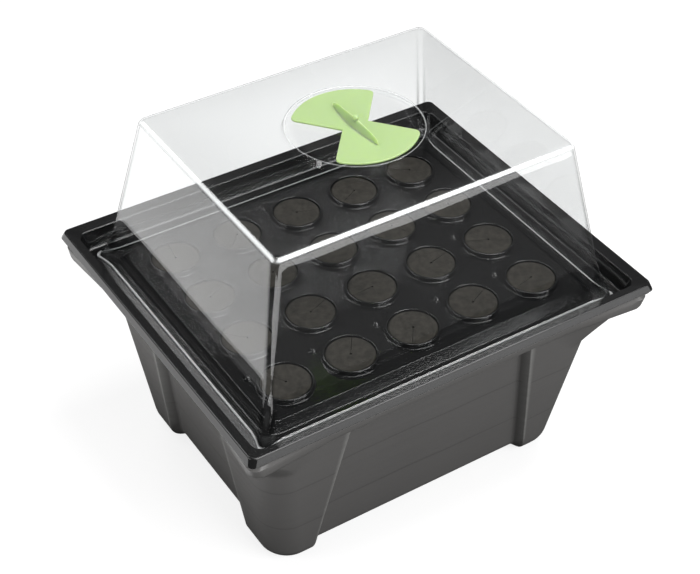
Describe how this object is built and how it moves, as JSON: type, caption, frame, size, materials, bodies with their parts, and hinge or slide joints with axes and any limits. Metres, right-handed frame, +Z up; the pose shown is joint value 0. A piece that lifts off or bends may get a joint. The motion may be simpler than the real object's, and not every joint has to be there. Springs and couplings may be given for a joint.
{
  "type": "humidity dome propagator",
  "caption": "Tapered tank with corner columns, a lift-out planting tray of ringed foam-collar sites, a clear drafted dome with a rotary vent, and a pump with a spray manifold inside.",
  "frame": {"origin": "on the floor, under the middle of the tank", "axes": "+Z up, +X along the longer row of sites, +Y along the shorter row"},
  "size_m": [0.483, 0.405, 0.4231],
  "materials": {
    "tank_grey": "satin thermoformed sheet with a fine grain",
    "tray_black": "gloss thermoformed sheet",
    "clear_dome": "clear gloss thermoformed sheet",
    "vent_green": "semi-gloss moulded",
    "collar_foam": "matt closed-cell foam",
    "pump_black": "moulded, fine texture",
    "rotor_white": "moulded",
    "shaft_white": "polished ceramic",
    "soft_rubber": "matt rubber",
    "pipe_black": "extruded and moulded",
    "nozzle_red": "moulded"
  },
  "bodies": {
    "tank": {"tank": "tank_grey", "pump_body": "pump_black", "pump_cover": "pump_black", "pump_strainer": "pump_black", "impeller_shaft": "shaft_white", "suction_cups": "soft_rubber", "cable_gland": "soft_rubber", "riser_pipe": "pipe_black", "manifold_tee": "pipe_black", "cross_pipes": "pipe_black", "bar_tees": "pipe_black", "spray_bars": "pipe_black", "end_caps": "pipe_black", "spray_nozzles": "nozzle_red"},
    "tray": {"site_tray": "tray_black"},
    "dome": {"dome": "clear_dome"},
    "vent": {"vent_disc": "vent_green", "vent_clip": "vent_green"},
    "impeller": {"impeller": "rotor_white"},
    "collar_01": {"collar_01": "collar_foam"},
    "collar_02": {"collar_02": "collar_foam"},
    "collar_03": {"collar_03": "collar_foam"},
    "collar_04": {"collar_04": "collar_foam"},
    "collar_05": {"collar_05": "collar_foam"},
    "collar_06": {"collar_06": "collar_foam"},
    "collar_07": {"collar_07": "collar_foam"},
    "collar_08": {"collar_08": "collar_foam"},
    "collar_09": {"collar_09": "collar_foam"},
    "collar_10": {"collar_10": "collar_foam"},
    "collar_11": {"collar_11": "collar_foam"},
    "collar_12": {"collar_12": "collar_foam"},
    "collar_13": {"collar_13": "collar_foam"},
    "collar_14": {"collar_14": "collar_foam"},
    "collar_15": {"collar_15": "collar_foam"},
    "collar_16": {"collar_16": "collar_foam"},
    "collar_17": {"collar_17": "collar_foam"},
    "collar_18": {"collar_18": "collar_foam"},
    "collar_19": {"collar_19": "collar_foam"},
    "collar_20": {"collar_20": "collar_foam"}
  },
  "joints": [
    {"name": "tray_lift", "type": "slide", "parent": "tank", "child": "tray", "axis": [0, 0, 1], "range_m": [0, 0.15]},
    {"name": "dome_lift", "type": "slide", "parent": "tray", "child": "dome", "axis": [0, 0, 1], "range_m": [0, 0.25]},
    {"name": "vent_turn", "type": "hinge", "parent": "dome", "child": "vent", "pos_m": [0, 0, 0.409], "axis": [0, 0, 1], "range_deg": [0, 90]},
    {"name": "impeller_spin", "type": "hinge", "parent": "tank", "child": "impeller", "pos_m": [0, 0, 0.036], "axis": [1, 0, 0], "continuous": true},
    {"name": "collar_01_lift", "type": "slide", "parent": "tray", "child": "collar_01", "axis": [0, 0, 1], "range_m": [0, 0.06]},
    {"name": "collar_02_lift", "type": "slide", "parent": "tray", "child": "collar_02", "axis": [0, 0, 1], "range_m": [0, 0.06]},
    {"name": "collar_03_lift", "type": "slide", "parent": "tray", "child": "collar_03", "axis": [0, 0, 1], "range_m": [0, 0.06]},
    {"name": "collar_04_lift", "type": "slide", "parent": "tray", "child": "collar_04", "axis": [0, 0, 1], "range_m": [0, 0.06]},
    {"name": "collar_05_lift", "type": "slide", "parent": "tray", "child": "collar_05", "axis": [0, 0, 1], "range_m": [0, 0.06]},
    {"name": "collar_06_lift", "type": "slide", "parent": "tray", "child": "collar_06", "axis": [0, 0, 1], "range_m": [0, 0.06]},
    {"name": "collar_07_lift", "type": "slide", "parent": "tray", "child": "collar_07", "axis": [0, 0, 1], "range_m": [0, 0.06]},
    {"name": "collar_08_lift", "type": "slide", "parent": "tray", "child": "collar_08", "axis": [0, 0, 1], "range_m": [0, 0.06]},
    {"name": "collar_09_lift", "type": "slide", "parent": "tray", "child": "collar_09", "axis": [0, 0, 1], "range_m": [0, 0.06]},
    {"name": "collar_10_lift", "type": "slide", "parent": "tray", "child": "collar_10", "axis": [0, 0, 1], "range_m": [0, 0.06]},
    {"name": "collar_11_lift", "type": "slide", "parent": "tray", "child": "collar_11", "axis": [0, 0, 1], "range_m": [0, 0.06]},
    {"name": "collar_12_lift", "type": "slide", "parent": "tray", "child": "collar_12", "axis": [0, 0, 1], "range_m": [0, 0.06]},
    {"name": "collar_13_lift", "type": "slide", "parent": "tray", "child": "collar_13", "axis": [0, 0, 1], "range_m": [0, 0.06]},
    {"name": "collar_14_lift", "type": "slide", "parent": "tray", "child": "collar_14", "axis": [0, 0, 1], "range_m": [0, 0.06]},
    {"name": "collar_15_lift", "type": "slide", "parent": "tray", "child": "collar_15", "axis": [0, 0, 1], "range_m": [0, 0.06]},
    {"name": "collar_16_lift", "type": "slide", "parent": "tray", "child": "collar_16", "axis": [0, 0, 1], "range_m": [0, 0.06]},
    {"name": "collar_17_lift", "type": "slide", "parent": "tray", "child": "collar_17", "axis": [0, 0, 1], "range_m": [0, 0.06]},
    {"name": "collar_18_lift", "type": "slide", "parent": "tray", "child": "collar_18", "axis": [0, 0, 1], "range_m": [0, 0.06]},
    {"name": "collar_19_lift", "type": "slide", "parent": "tray", "child": "collar_19", "axis": [0, 0, 1], "range_m": [0, 0.06]},
    {"name": "collar_20_lift", "type": "slide", "parent": "tray", "child": "collar_20", "axis": [0, 0, 1], "range_m": [0, 0.06]}
  ]
}
